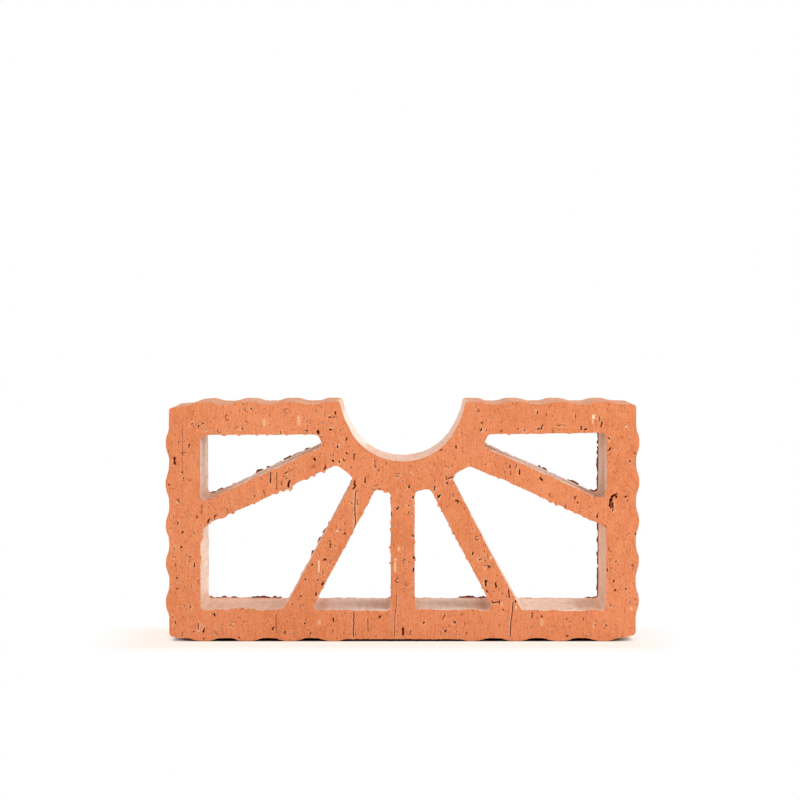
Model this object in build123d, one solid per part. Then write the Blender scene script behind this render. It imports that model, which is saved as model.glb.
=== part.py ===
from build123d import *
import os

# A screen-wall block of fired clay, extruded through a die and cut to length by a wire.
# Millimetres. +X runs along the long side, +Y along the extrusion, +Z up.
# The origin is the middle of the bottom bed, at the level of the ridge crests it stands on.

# Overall size, measured over the ridge crests
WIDTH = 300.0
HEIGHT = 152.0
DEPTH = 76.0
OUTER_CORNER_FILLET = 2.0

# The frame round the openings
OPENING_HALF_WIDTH = 128.4
BOTTOM_BAR = 19.8
TOP_BAR = 20.7

# Half-round notch in the top bed, and the ring of clay round it from which the rays start
NOTCH_RADIUS = 37.8
NOTCH_BELOW_TOP = 1.0
NOTCH_RIM_FILLET = 1.2
RING = 19.6

# Rays: thickness, angle to the vertical, and the height at which the axis meets the centre line
RAY_LENGTH = 260.0
MIDDLE_RAY = 15.2
STEEP_RAY = 15.3
STEEP_RAY_ANGLE = 28.1
STEEP_RAY_AIM = 144.6
FLAT_RAY = 14.3
FLAT_RAY_ANGLE = 65.4
FLAT_RAY_AIM = 139.0

# Rounding of the corners of the openings: plain corners, tips on the ring, and the broad tips
CORNER_FILLET = 2.6
TIP_FILLET = 3.2
BROAD_TIP_FILLET = 6.0
BROAD_TIP_WIDTH = 18.0

# Ridges that key the block into mortar, on the two ends and on the two beds
CREST = 7.6
END_RIDGES = 5
END_PITCH = 25.0
END_RELIEF = 2.2
END_SLOPE = 3.6
END_FILLET = 5.0
BED_RIDGES = 4
BED_PITCH = 27.5
BED_FIRST_RIDGE = 44.0
BED_RELIEF = 1.8
BED_SLOPE = 6.0
BED_FILLET = 11.0

# Plain stretch in the middle of the bottom bed, between groove and crest level
PLAIN_HALF_WIDTH = 37.0
PLAIN_BELOW_CREST = 1.1

SAME_PLACE = 0.01


def ridge_corners(middle, relief, slope, fillet_radius):
    """Corners of one ridge as (place along the face, height over the groove, rounding)."""
    foot = CREST / 2 + slope
    return [
        (middle - foot, 0, fillet_radius),
        (middle - CREST / 2, relief, fillet_radius),
        (middle + CREST / 2, relief, fillet_radius),
        (middle + foot, 0, fillet_radius),
    ]


def end_corners():
    """Corners of one end face from the bottom up, measured along it from the ground."""
    corners = []
    for step in range(END_RIDGES):
        middle = HEIGHT / 2 + (step - (END_RIDGES - 1) / 2) * END_PITCH
        corners += ridge_corners(middle, END_RELIEF, END_SLOPE, END_FILLET)
    return corners


def half_bed_corners():
    """Corners of the ridges on one half of a bed, outwards from the middle of the block."""
    corners = []
    for step in range(BED_RIDGES):
        middle = BED_FIRST_RIDGE + step * BED_PITCH
        corners += ridge_corners(middle, BED_RELIEF, BED_SLOPE, BED_FILLET)
    return corners


def right_half_outline():
    """Corners (x, z, rounding) of the right half of the outer outline, from the bottom up."""
    groove_x = WIDTH / 2 - END_RELIEF
    top_groove = HEIGHT - BED_RELIEF
    plain_end = (PLAIN_HALF_WIDTH, PLAIN_BELOW_CREST, 0)
    bottom = [(x, BED_RELIEF - rise, rounding) for x, rise, rounding in half_bed_corners()[1:]]
    end = [(groove_x + rise, z, rounding) for z, rise, rounding in end_corners()]
    top = [(x, top_groove + rise, rounding) for x, rise, rounding in half_bed_corners()[2:]]
    bottom_corner = (groove_x, BED_RELIEF, OUTER_CORNER_FILLET)
    top_corner = (groove_x, top_groove, OUTER_CORNER_FILLET)
    return [plain_end] + bottom + [bottom_corner] + end + [top_corner] + top[::-1]


def outer_section():
    """The block's outer section, with its ridges rounded into their grooves."""
    right = right_half_outline()
    left = [(-x, z, rounding) for x, z, rounding in reversed(right)]
    points = [(x, z) for x, z, rounding in right + left]
    roundings = [rounding for x, z, rounding in right + left]
    return make_face(FilletPolyline(points, radius=roundings, close=True))


def notch_centre():
    return Vector(0, HEIGHT - NOTCH_BELOW_TOP)


def notched(section):
    """Cuts the half-round notch out of the top bed and eases its two rims."""
    centre = notch_centre()
    section -= Pos(centre.X, centre.Y) * Circle(NOTCH_RADIUS)
    rims = [v for v in section.vertices() if abs(v.Y - HEIGHT) < SAME_PLACE and abs(v.X) < NOTCH_RADIUS + 1]
    return section.face().fillet_2d(NOTCH_RIM_FILLET, rims)


def ray(thickness, angle, aim):
    """A straight bar that leaves the centre line at the aim height, turned from straight down."""
    bar = Pos(0, -RAY_LENGTH / 2) * Rectangle(thickness, RAY_LENGTH)
    return Pos(0, aim) * Rot(Z=angle) * bar


def rays():
    bars = ray(MIDDLE_RAY, 0, HEIGHT)
    for side in (-1, 1):
        bars += ray(STEEP_RAY, side * STEEP_RAY_ANGLE, STEEP_RAY_AIM)
        bars += ray(FLAT_RAY, side * FLAT_RAY_ANGLE, FLAT_RAY_AIM)
    return bars


def openings():
    """The six openings: the inside of the frame less the ring and the rays, with rounded corners."""
    opening_height = HEIGHT - TOP_BAR - BOTTOM_BAR
    inside = Pos(0, BOTTOM_BAR + opening_height / 2) * Rectangle(2 * OPENING_HALF_WIDTH, opening_height)
    ring_radius = NOTCH_RADIUS + RING
    centre = notch_centre()
    holes = inside - Pos(centre.X, centre.Y) * Circle(ring_radius) - rays()
    return Sketch() + [rounded_opening(hole, centre, ring_radius) for hole in holes.faces()]


def rounded_opening(hole, centre, ring_radius):
    """Rounds one opening: its two tips on the ring, and then the corners away from it."""
    tips, corners = [], []
    for vertex in hole.vertices():
        on_ring = abs((Vector(vertex) - centre).length - ring_radius) < SAME_PLACE
        (tips if on_ring else corners).append(vertex)
    tip_width = (Vector(tips[0]) - Vector(tips[1])).length
    hole = hole.fillet_2d(BROAD_TIP_FILLET if tip_width > BROAD_TIP_WIDTH else TIP_FILLET, tips)
    return hole.fillet_2d(CORNER_FILLET, vertices_at(hole, corners))


def vertices_at(hole, corners):
    """The opening's present vertices that lie where the given earlier ones did."""
    places = [Vector(corner) for corner in corners]
    return [v for v in hole.vertices() if any((Vector(v) - place).length < SAME_PLACE for place in places)]


def block():
    section = notched(outer_section()) - openings()
    return extrude(Plane.XZ * section, amount=DEPTH / 2, both=True)


os.makedirs("parts", exist_ok=True)
export_step(block(), "parts/breeze_block.step")
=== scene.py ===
"""The looks of a fired-clay screen block: torn wire-cut faces, smooth die-drawn walls, pits and cracks.

Lengths are in millimetres until a mesh is made. Places are in the frame of the CAD part: +X right, +Y into
the block, +Z up. The two cut faces look along -Y (front) and +Y (back), and the walls run along Y.
"""

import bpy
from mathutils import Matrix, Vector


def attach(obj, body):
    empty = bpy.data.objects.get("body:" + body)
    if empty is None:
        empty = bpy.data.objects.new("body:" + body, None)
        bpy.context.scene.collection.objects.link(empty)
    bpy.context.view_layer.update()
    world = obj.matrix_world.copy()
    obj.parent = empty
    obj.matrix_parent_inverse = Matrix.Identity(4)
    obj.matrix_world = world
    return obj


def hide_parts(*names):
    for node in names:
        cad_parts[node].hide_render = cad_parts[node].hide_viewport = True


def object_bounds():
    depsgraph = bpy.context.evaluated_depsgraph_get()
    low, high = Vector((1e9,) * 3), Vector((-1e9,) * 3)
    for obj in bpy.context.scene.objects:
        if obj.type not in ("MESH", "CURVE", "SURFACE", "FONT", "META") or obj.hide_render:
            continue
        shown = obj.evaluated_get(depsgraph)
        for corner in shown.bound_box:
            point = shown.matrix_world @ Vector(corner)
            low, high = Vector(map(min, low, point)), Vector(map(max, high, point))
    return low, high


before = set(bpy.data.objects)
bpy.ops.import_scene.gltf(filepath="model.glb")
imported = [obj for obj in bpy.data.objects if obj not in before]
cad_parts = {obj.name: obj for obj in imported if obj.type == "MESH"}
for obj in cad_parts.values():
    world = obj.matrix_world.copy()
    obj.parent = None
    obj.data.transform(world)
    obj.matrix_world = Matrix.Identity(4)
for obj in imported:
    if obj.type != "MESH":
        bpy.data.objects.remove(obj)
CAD_BOX = [list(corner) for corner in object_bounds()]

import math

import bpy
import numpy as np
from mathutils import Vector, geometry, kdtree, noise

MM = 0.001
LOW = np.array(CAD_BOX[0]) / MM
HIGH = np.array(CAD_BOX[1]) / MM
HALF_DEPTH = HIGH[1]
HEIGHT = HIGH[2]
ON_FACE = 0.01
ORIGIN = (0.0, 0.0, 0.0)

# Mesh density
EDGE_SPACING = 0.56
BAND_INSET = 0.45
FRONT_GRID = 1.25
BACK_GRID = 1.55
GRID_JITTER = 0.22
SHARP_ANGLE = 52

# Smoothing of the outline: everywhere, and further on the ridges of the two ends, away from both beds
OUTLINE_SMOOTHING = 2
RIDGE_SMOOTHING = 30
RIDGES_FROM_MIDDLE = (138.0, 144.0)
RIDGES_FROM_BEDS = (6.0, 14.0)

# Depths of the wall's rows under a cut face: fine rows, and then coarse ones down to the middle
FINE_ROWS = (0.35, 0.9)
COARSE_ROWS = (1.9, 5.0, 12.0, 24.0, 38.0)

# The wire's way over each cut face, as seen from the front. It tears the edges where it leaves the clay.
FRONT_WIRE = np.array([-0.30, -0.95])
BACK_WIRE = np.array([-0.30, 0.95])
EDGE_FADE = 2.6

# How far apart in the noise two seeds lie
SEED_STEP = 13.7


# Noise and arrays

def smoothstep(low, high, value):
    t = np.clip((value - low) / (high - low), 0.0, 1.0)
    return t * t * (3.0 - 2.0 * t)


def field(places, wavelength, seed):
    """Smooth noise, mostly from -0.5 to 0.5, at places (n, 3). wavelength is one length, or one an axis."""
    scaled = places / np.asarray(wavelength, float) + seed * SEED_STEP
    return np.array([noise.noise(place) for place in scaled.tolist()])


def in_space(flat, y=0.0):
    """Places (x, z) in the cutting plane as (x, y, z)."""
    return np.column_stack([flat[:, 0], np.full(len(flat), y), flat[:, 1]])


# The outline of the clay, read from the CAD node's front face

def front_outlines(node):
    """The closed outlines of the node's front face as arrays of (x, z), with the clay on their left."""
    corners = np.array([v.co for v in node.data.vertices]) / MM
    edges = set()
    for polygon in node.data.polygons:
        ring = list(polygon.vertices)
        if corners[ring, 1].max() > LOW[1] + ON_FACE:
            continue
        for a, b in zip(ring, ring[1:] + ring[:1]):
            if (b, a) in edges:
                edges.remove((b, a))
            else:
                edges.add((a, b))
    follows = dict(sorted(edges))
    loops = []
    while follows:
        start = min(follows)
        loop = [start]
        here = follows.pop(start)
        while here != start:
            loop.append(here)
            here = follows.pop(here)
        loops.append(corners[loop][:, [0, 2]])
    return loops


def resampled(loop):
    """An even number of evenly spaced points round a closed outline, with the facets of its arcs smoothed."""
    closed = np.vstack([loop, loop[:1]])
    along = np.concatenate([[0.0], np.cumsum(np.hypot(*np.diff(closed, axis=0).T))])
    count = 2 * round(along[-1] / EDGE_SPACING / 2)
    places = np.arange(count) * along[-1] / count
    points = np.column_stack([np.interp(places, along, closed[:, axis]) for axis in (0, 1)])
    return soft_ridges(smoothed(points, OUTLINE_SMOOTHING))


def smoothed(ring, times):
    """A ring with each point drawn towards its neighbours, so many times over."""
    for _ in range(times):
        ring = (np.roll(ring, 1, 0) + 2 * ring + np.roll(ring, -1, 0)) / 4
    return ring


def soft_ridges(ring):
    """The ridges of the block's two ends have soft flanks: there the outline is smoothed further."""
    from_bed = np.minimum(ring[:, 1], HEIGHT - ring[:, 1])
    share = smoothstep(*RIDGES_FROM_MIDDLE, np.abs(ring[:, 0])) * smoothstep(*RIDGES_FROM_BEDS, from_bed)
    return ring + (smoothed(ring, RIDGE_SMOOTHING) - ring) * share[:, None]


def outward(ring):
    """Unit normals of a ring that point out of the clay."""
    along = np.roll(ring, -1, 0) - np.roll(ring, 1, 0)
    along /= np.linalg.norm(along, axis=1)[:, None]
    return np.column_stack([along[:, 1], -along[:, 0]])


def following(counts):
    """The number of the point after each one, round rings of so many points each."""
    starts = np.cumsum([0, *counts])
    return np.concatenate([np.roll(np.arange(a, b), -1) for a, b in zip(starts, starts[1:])])


class Outline:
    """All rings of the section: points, normals out of the clay, and which point follows which.

    Coarse rings have every second point. outer tells which points are on the outside of the block.
    """

    def __init__(self, loops):
        rings = [resampled(loop) for loop in loops]
        counts = [len(ring) for ring in rings]
        widths = [np.ptp(ring[:, 0]) for ring in rings]
        self.points = np.vstack(rings)
        self.normals = np.vstack([outward(ring) for ring in rings])
        self.outer = np.repeat(np.array(widths) == max(widths), counts)
        self.after = following(counts)
        self.coarse_after = following([count // 2 for count in counts])
        self.tree = kdtree.KDTree(len(self.points))
        for number, point in enumerate(self.points):
            self.tree.insert((point[0], point[1], 0.0), number)
        self.tree.balance()

    def nearest(self, flat):
        """The number of the nearest outline point, and its distance, for each place (x, z)."""
        found = [self.tree.find((x, z, 0.0))[1:] for x, z in flat.tolist()]
        return np.array([f[0] for f in found], int), np.array([f[1] for f in found])

    def distance_to(self, x, z):
        """The distance of each outline point from a place."""
        return np.hypot(self.points[:, 0] - x, self.points[:, 1] - z)

    def depth(self, flat):
        """How deep in the clay each place lies, from the nearest outline point. Outside it is below 0."""
        number, distance = self.nearest(flat)
        inside = ((flat - self.points[number]) * self.normals[number]).sum(axis=1) < 0.0
        return np.where(inside, distance, -distance)


# Marks on a cut face: each is a line of points with a half width and a depth

RAGGED_PITS = 0.9
RAGGED_CRACKS = 0.35
RAGGED_WAVELENGTH = 0.9

# How far aside of its line a mark's guide points lie, in half widths, and how close together they are
GUIDES_ASIDE = (-1.35, -0.9, -0.45, 0.0, 0.45, 0.9, 1.35)
GUIDE_SPACING = 0.8
LEAST_GUIDE_SPACING = 0.3


class Mark:
    """A pit, drag mark or crack: a line of (x, z), its half width and depth, its painted shade, and how pale
    it is.
    """

    def __init__(self, line, half_width, depth, dark=1.0, pale=0.0, ragged=RAGGED_PITS):
        self.line = np.array(line, float)
        self.half_width = half_width
        self.depth = depth
        self.dark = dark
        self.pale = pale
        self.ragged = ragged

    def stretches(self):
        """The straight stretches of the line. A line of one point has one, from the point to itself."""
        return zip(self.line, self.line[1:] if len(self.line) > 1 else self.line)

    def distance(self, flat):
        """Distance of each place from the line, in half widths, with an uneven outline."""
        best = np.full(len(flat), np.inf)
        for a, b in self.stretches():
            step = b - a
            share = np.clip((flat - a) @ step / max(step @ step, 1e-9), 0.0, 1.0)
            best = np.minimum(best, np.linalg.norm(flat - a - share[:, None] * step, axis=1))
        return best / self.half_width + self.ragged * field(in_space(flat), RAGGED_WAVELENGTH, seed=81)

    def guide_points(self):
        """Places where the mesh needs a corner to take the mark's shape."""
        spacing = max(LEAST_GUIDE_SPACING, self.half_width * GUIDE_SPACING)
        reach = self.half_width * max(GUIDES_ASIDE)
        points = []
        for a, b in self.stretches():
            length = np.linalg.norm(b - a)
            along = (b - a) / length if length > 0 else np.array([0.0, 1.0])
            across = np.array([along[1], -along[0]])
            for s in np.linspace(-reach, length + reach, max(3, round((length + 2 * reach) / spacing))):
                past = max(-s, s - length, 0.0)
                for offset in GUIDES_ASIDE:
                    sideways = offset * self.half_width
                    if math.hypot(past, sideways) <= reach * 1.02:
                        points.append(a + along * s + across * sideways)
        return points


def pit(x, z, width, length, lean=0.0, depth=None, dark=1.0):
    """A pit of that width and length, which leans by so many degrees from upright."""
    half = max(0.0, (length - width) / 2)
    step = np.array([math.sin(math.radians(lean)), math.cos(math.radians(lean))]) * half
    centre = np.array([x, z])
    line = [centre] if half < 0.1 else [centre - step, centre + step]
    return Mark(line, width / 2, depth or 0.55 + 0.7 * width, dark)


def curl(x, z, radius, start, sweep, width=0.42, dark=0.7):
    """A pit whose clay stayed in its middle: part of a ring, from the angle start on, in degrees."""
    angles = np.radians(start + np.linspace(0.0, sweep, 7))
    line = [(x + radius * math.cos(angle), z + radius * math.sin(angle)) for angle in angles]
    return Mark(line, width / 2, 0.5, dark)


def drag(x, top, length, half_width, strength):
    """A pale drag mark or lime speck, which runs down from its top."""
    end = top - max(length - half_width, 0.2)
    return Mark([(x, top - half_width), (x, end)], half_width, 0.05, 0.0, strength, ragged=0.0)


# The pits that stand out on the front face, as x, z, width, length and the lean of those that lean
FRONT_PITS = (
    (-126.6, 138.6, 1.1, 1.5, 20), (-124.7, 134.8, 0.9, 1), (-144.6, 115.2, 0.8, 4.6),
    (-148.1, 100.6, 1.2, 1.4), (-53.8, 132.9, 1.6, 2.7, -25), (-52, 130.2, 0.9, 1),
    (-45.9, 134.5, 1.1, 1.9, 60), (-41.5, 123.6, 1, 2), (-55.9, 115.5, 1.4, 2, 15), (-49, 110.6, 1, 2.4, 15),
    (-23.9, 102.1, 1.1, 4, 4), (-36, 119.4, 0.9, 1.5), (-3.2, 84.2, 1.1, 2.6, 40), (4, 97, 1.1, 1.6, -40),
    (6.5, 90.6, 1.1, 1.4), (7, 66.7, 0.9, 2.6, -70), (34, 122.8, 1, 2.5), (49.9, 138.8, 0.8, 1.3),
    (49.9, 134.4, 0.9, 1.8), (20.1, 96.3, 1, 2.5, 5), (22.9, 91.4, 1.2, 3.2, 40), (27.8, 99.6, 0.9, 1.4),
    (34.8, 88.6, 0.9, 1.8, -45), (72.8, 134.5, 1.2, 1.3), (76.9, 133.6, 1, 1), (85.1, 145, 0.7, 2.4),
    (67.7, 110.8, 1, 2.3), (73.7, 107, 1, 3.6), (87.4, 102.5, 1.2, 2.6, -60), (125.3, 136.9, 0.9, 3.6, 18),
    (124, 140.8, 0.5, 3.6, -4), (110.1, 87.6, 1.1, 1.5, 30), (108.6, 90.6, 0.8, 2), (122.8, 79.8, 0.9, 2.8),
    (130.3, 127.8, 0.8, 1.5), (130.6, 121.4, 0.9, 1.8), (146.9, 119, 1.2, 1.3), (143.8, 114.1, 0.9, 1.4),
    (138, 121.4, 0.8, 1), (141.2, 91.4, 0.9, 1.1), (-139.6, 69.6, 1.5, 1.7, 25), (-140.5, 60.5, 0.9, 1.8),
    (-134.6, 53.6, 1.1, 1.3), (-142.4, 76.6, 0.7, 3), (-145.2, 55.1, 0.8, 1.2, 20), (-137.3, 55.1, 0.8, 1),
    (-132.2, 48.4, 0.6, 3.2), (-146.4, 36.9, 0.8, 1), (-143, 41, 0.9, 1.2, -20), (-119.3, 78.5, 1, 3.2, 8),
    (-123.4, 76.6, 0.9, 2.2), (-134.8, 21.7, 1.3, 1.5), (-119.6, 17.1, 1.1, 1.9, 30),
    (-126.6, 6.8, 1, 4.2, 14), (-129.8, 9.3, 0.5, 4.6, 4), (-126.4, 1.6, 1.4, 1), (-104.1, 2.4, 1.2, 1.3),
    (-82.7, 7.9, 0.9, 2), (-74.8, 5.6, 0.7, 2.4), (-62.3, 11.3, 0.9, 1.3), (-64.6, 28.7, 0.8, 1.4, 20),
    (-61.7, 39.2, 0.9, 1.4), (38.6, 22.8, 1, 1.4), (71.5, 25.3, 1.2, 1.9, 10), (81.8, 16.6, 0.8, 3.4),
    (88.1, 15.4, 0.9, 1.1, 40), (121.6, 10.4, 1.1, 1.4), (128.6, 10, 1.2, 1.4), (144.2, 24.7, 1.1, 1.2),
    (-139.9, 107.6, 1.4, 1.5), (-138.9, 104, 1, 1.2), (-142, 90.2, 0.8, 2), (-32.4, 87.5, 0.9, 1),
    (-36.7, 68.4, 1, 1.4), (-46, 61.5, 0.6, 4.6, 3), (-49.1, 51.8, 1.6, 1.6), (-74, 107.2, 1, 1.6, 20),
    (-72.4, 100.4, 1.3, 3.2, 12), (-51.1, 36.4, 1.3, 1.8, 40), (-54.9, 29.7, 1, 2.2, 15),
    (-57.3, 48.5, 0.9, 1.6), (-44, 13.6, 0.7, 2.6, 10), (-14.8, 15.1, 0.9, 1.5), (0.2, 5.8, 1.3, 5.6, -6),
    (3.8, 85.6, 1.3, 0.8), (6.8, 53, 1.3, 1.8, 20), (6.8, 45.4, 0.9, 2.4), (-7.2, 80.6, 0.7, 3),
    (3.6, 81.4, 0.8, 1.2), (44.5, 56, 0.9, 2.2), (48.9, 51.7, 0.9, 1.2), (52, 47.9, 1, 1.2),
    (55, 47.6, 1.1, 1.7, -20), (59.2, 35.8, 1.1, 3.2, -20), (52.8, 37, 1.5, 4.6, 3),
    (53.4, 31.6, 0.9, 2.2, -35), (13.4, 11.6, 1.2, 1.6), (26.9, 6.3, 1.4, 1.8, 15), (32.8, 11.9, 1.4, 0.9),
    (133.4, 38.2, 1.2, 1.8, -20), (134.6, 32.3, 1.2, 1.7, 20), (131.4, 22.4, 0.9, 1.6),
    (134.6, 50.5, 0.8, 1.1), (145.4, 48.2, 1, 1.2), (147.4, 68.2, 0.8, 2), (103.9, 3.2, 1.2, 1.4),
    (116.4, 3.4, 1.1, 1.3), (129.2, 45.2, 0.8, 2.2), (-61, 128, 0.9, 2.2), (-135.5, 124.5, 0.6, 2.8),
    (-102, 135.4, 0.8, 1.8), (99, 136.4, 0.5, 1.6, 60), (115.3, 133.8, 1.2, 2.2, 70), (112.6, 134.6, 0.8, 2),
    (87.9, 135.4, 0.7, 3.2, 10), (85.4, 134.4, 0.8, 1.8, 60), (-40.2, 113.4, 1.3, 1.8, 30),
    (-44.2, 114.4, 1.3, 2.2, -50), (-42, 145, 1.1, 1.8), (-46.2, 142.2, 1.1, 1.4, 50),
    (-36.1, 128, 0.9, 2.6, 12), (-31.1, 116.6, 0.7, 4.2), (-17.9, 112.3, 0.5, 5.6, -4),
    (-32.8, 109.4, 1, 1.2), (-37.6, 115.2, 0.7, 1.8), (24.6, 120.9, 0.8, 1.4, 30), (9, 107.3, 1, 1.2),
    (5.1, 105.3, 0.8, 1), (-0.3, 101, 0.8, 1),
)

# Pits of the front face that are parts of rings, as x, z, radius, start and sweep in degrees
FRONT_CURLS = (
    (-111, 142, 1.4, 60, 250), (-116.3, 134, 1.3, 100, 230), (-105.2, 135.3, 1.2, 20, 200),
    (-100.5, 146.4, 1, -60, 200), (-74.6, 104.2, 1.1, -80, 250), (-70.9, 109.6, 1.3, 150, 200),
    (-138.4, 119.3, 1.1, 0, 280), (-73.7, 146, 1.5, 60, 220), (-3.2, 104.6, 1.2, 20, 300),
    (28, 109.2, 0.9, -30, 200), (-17, 99.2, 1.2, 190, 180), (131.2, 58.5, 1.3, 100, 200),
    (127.2, 72, 1.4, -40, 220), (124.8, 73.6, 1, 120, 180), (47, 65.4, 1.2, 60, 260),
    (2.8, 36.6, 1.3, 100, 200), (-3.2, 38.6, 1.4, 60, 260), (1.5, 50.6, 1.3, 30, 240),
    (-108.3, 10.8, 1.5, 30, 250), (-128.6, 37.4, 1.4, 60, 180), (-44.2, 110.6, 1.2, 150, 220),
    (104.5, 14.2, 1, 90, 180), (-63.9, 22.4, 1.1, 0, 220), (120.8, 92.2, 1.2, 100, 200),
)

# Hairline cracks of the front face: their points, half width, depth and painted shade
FRONT_CRACKS = (
    ([(-29.6, 95.4), (-30.2, 91.3), (-30.4, 84), (-30, 74.8), (-30.4, 71.2)], 0.27, 1.4, 1),
    ([(-30.4, 101.2), (-31, 99.4), (-29.9, 98.6), (-31.4, 96.6)], 0.65, 0.9, 0.8),
    ([(-31.1, 18.4), (-30.9, 15.2), (-31.3, 13.2), (-30.9, 11.2), (-31.4, 7.9), (-31.3, 2.6)],
     0.26, 1.4, 0.95),
    ([(-3.8, 29.7), (-4.2, 21.3), (-5, 15.2), (-5.2, 3)], 0.20, 0.8, 0.6),
    ([(69.9, 25), (69.5, 19.3), (68.5, 12), (68.1, 2.4)], 0.24, 1.3, 0.95),
    ([(67.1, 32.8), (67.4, 30.4), (67.5, 27.6)], 0.38, 1, 0.95),
    ([(56.6, 25.4), (57.4, 24.3), (59, 24.6), (61.6, 24.9)], 0.42, 0.8, 0.85),
    ([(61.3, 26.1), (61.5, 23.4)], 0.34, 0.7, 0.7),
    ([(28.6, 102.2), (30.2, 102.8), (34.2, 102.7)], 0.36, 0.9, 0.9),
    ([(27.2, 104.2), (27.9, 101.6)], 0.30, 0.7, 0.6),
    ([(-139.6, 138), (-139.3, 128), (-139.8, 117), (-139.6, 108.5)], 0.17, 0.5, 0.45),
    ([(-80, 107.2), (-79.8, 101.5), (-80.1, 96.6)], 0.22, 0.8, 0.65),
    ([(-83.8, 107), (-84, 101)], 0.42, 0.9, 0.85),
    ([(-80.5, 16.8), (-80.3, 5.2)], 0.22, 0.7, 0.6),
    ([(-22.2, 14.4), (-22, 5.8)], 0.22, 0.8, 0.6),
    ([(-127.4, 87.4), (-127.6, 80.6)], 0.22, 0.6, 0.6),
    ([(-74.6, 97.2), (-73, 98.2), (-71.4, 97), (-69.9, 97.2)], 0.36, 1, 0.95),
    ([(96.9, 136.6), (100.4, 136.9), (103.6, 136.6)], 0.26, 0.4, 0.45),
)

# The gouge in the right bar: a hook of torn clay in painted shade, with a paler foot of lighter painted shade
GOUGE = (
    ([(134.8, 91.2), (134.3, 92.4), (133.2, 92.6), (131.9, 91.2), (131.4, 89.4)], 0.75, 1.9, 1),
    ([(130.6, 89.6), (130.4, 85.2)], 0.42, 1.3, 1),
    ([(132.8, 88), (132.6, 82.6)], 0.38, 1.3, 0.95),
    ([(131.6, 90), (131.6, 84.8)], 1.1, 1.1, 0.62),
)

# Pale drag marks and lime specks of the front face, as x, top, length, half width and strength
FRONT_PALE = (
    (120.3, 143.6, 3.2, 0.9, 1), (119.7, 140.6, 3, 0.5, 0.6), (-53.1, 51.4, 7.8, 0.5, 0.8),
    (-4.5, 52.6, 1.6, 0.8, 0.9), (-4.8, 50.4, 6.6, 0.7, 0.55), (-41.8, 70.6, 1.2, 0.7, 0.6),
    (-66, 143.6, 6.5, 1.2, 0.35), (-88, 141.5, 5, 1.4, 0.3), (8.4, 128.6, 3.2, 0.9, 0.35),
    (-52.9, 13.6, 3, 1.2, 0.35), (56, 53.8, 1.4, 0.9, 0.6), (62.6, 24.6, 2.4, 0.9, 0.5),
    (71.9, 22.6, 2.2, 0.6, 0.8), (97.5, 87, 2.4, 0.7, 0.4), (-8.8, 117.5, 3.4, 0.8, 0.25),
    (101.5, 112, 3, 0.7, 0.3), (-120.5, 31, 3.5, 0.8, 0.3), (145, 21.8, 2.4, 0.9, 0.5), (88, 14, 4.2, 1, 0.3),
    (13, 64, 2, 0.6, 0.3), (-2.5, 59.8, 2.6, 0.6, 0.6), (131.6, 85.4, 2.6, 0.55, 0.4),
    (141.4, 136.4, 1.4, 0.6, 0.8), (-40.6, 124.8, 2, 0.5, 0.6),
)

# Where marks are strewn: clear of the edge and of placed marks, denser in a strip beside torn edges, scarcer
# on the calm right side, and in clumps
EDGE_CLEARANCE = 0.5
CLEARANCE = 1.8
PLAIN_CHANCE = 0.38
TORN_STRIP = (2.0, 7.0)
CALM_SIDE = (20.0, 140.0)
CALM_LOSS = 0.26
CLUMP_WAVELENGTH = 11.0
BETWEEN_CLUMPS = 0.35


def strewn_places(outline, wire, count, draw, calm_side=0.0):
    """Places in the clay, denser beside the edges that the wire tore, and scarcer towards the right."""
    places = draw.uniform(LOW[[0, 2]] + 1.0, HIGH[[0, 2]] - 1.0, (count * 12, 2))
    places = places[outline.depth(places) > 0.0]
    number, distance = outline.nearest(places)
    torn = smoothstep(0.2, 0.8, outline.normals[number] @ wire) * ~outline.outer[number]
    chance = PLAIN_CHANCE + (1.0 - PLAIN_CHANCE) * torn * (1.0 - smoothstep(*TORN_STRIP, distance))
    chance -= calm_side * CALM_LOSS * smoothstep(*CALM_SIDE, places[:, 0])
    clumps = smoothstep(-0.25, 0.2, field(in_space(places), CLUMP_WAVELENGTH, seed=91))
    chance *= BETWEEN_CLUMPS + (1.0 - BETWEEN_CLUMPS) * clumps
    chosen = (distance > EDGE_CLEARANCE) & (draw.uniform(0.0, 1.0, len(places)) < chance)
    return places[chosen][:count]


def random_marks(outline, wire, pits, drags, curls, seed, calm_side=0.0):
    """Small pits, drag marks and curls strewn over a cut face."""
    draw = np.random.default_rng(seed)
    marks = []
    for x, z in strewn_places(outline, wire, pits, draw, calm_side):
        size = draw.uniform(0.0, 1.0) ** 2.2
        width = 0.42 + 0.5 * size
        length = width * draw.uniform(1.0, 2.0)
        marks.append(pit(x, z, width, length, draw.normal(0, 35), 0.3 + 0.55 * width, 0.42 + 0.55 * size))
    for x, z in strewn_places(outline, wire, drags, draw, calm_side):
        size = draw.uniform(0.0, 1.0)
        width = 0.32 + 0.22 * size
        length = 1.0 + 3.0 * size * draw.uniform(0.3, 1.0)
        marks.append(pit(x, z, width, length, draw.normal(0, 8), 0.3 + 0.35 * size, 0.3 + 0.5 * size))
    for x, z in strewn_places(outline, wire, curls, draw, calm_side):
        radius, sweep = draw.uniform(0.6, 1.2), draw.uniform(120, 260)
        marks.append(curl(x, z, radius, draw.uniform(0, 360), sweep, 0.36, draw.uniform(0.35, 0.75)))
    return marks


def clear_of(marks, strewn):
    """Those of the strewn marks that keep clear of the others."""
    taken = np.vstack([mark.line for mark in marks])
    gaps = [np.linalg.norm(taken[:, None] - mark.line, axis=2).min() for mark in strewn]
    return [mark for mark, gap in zip(strewn, gaps) if gap > CLEARANCE]


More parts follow.
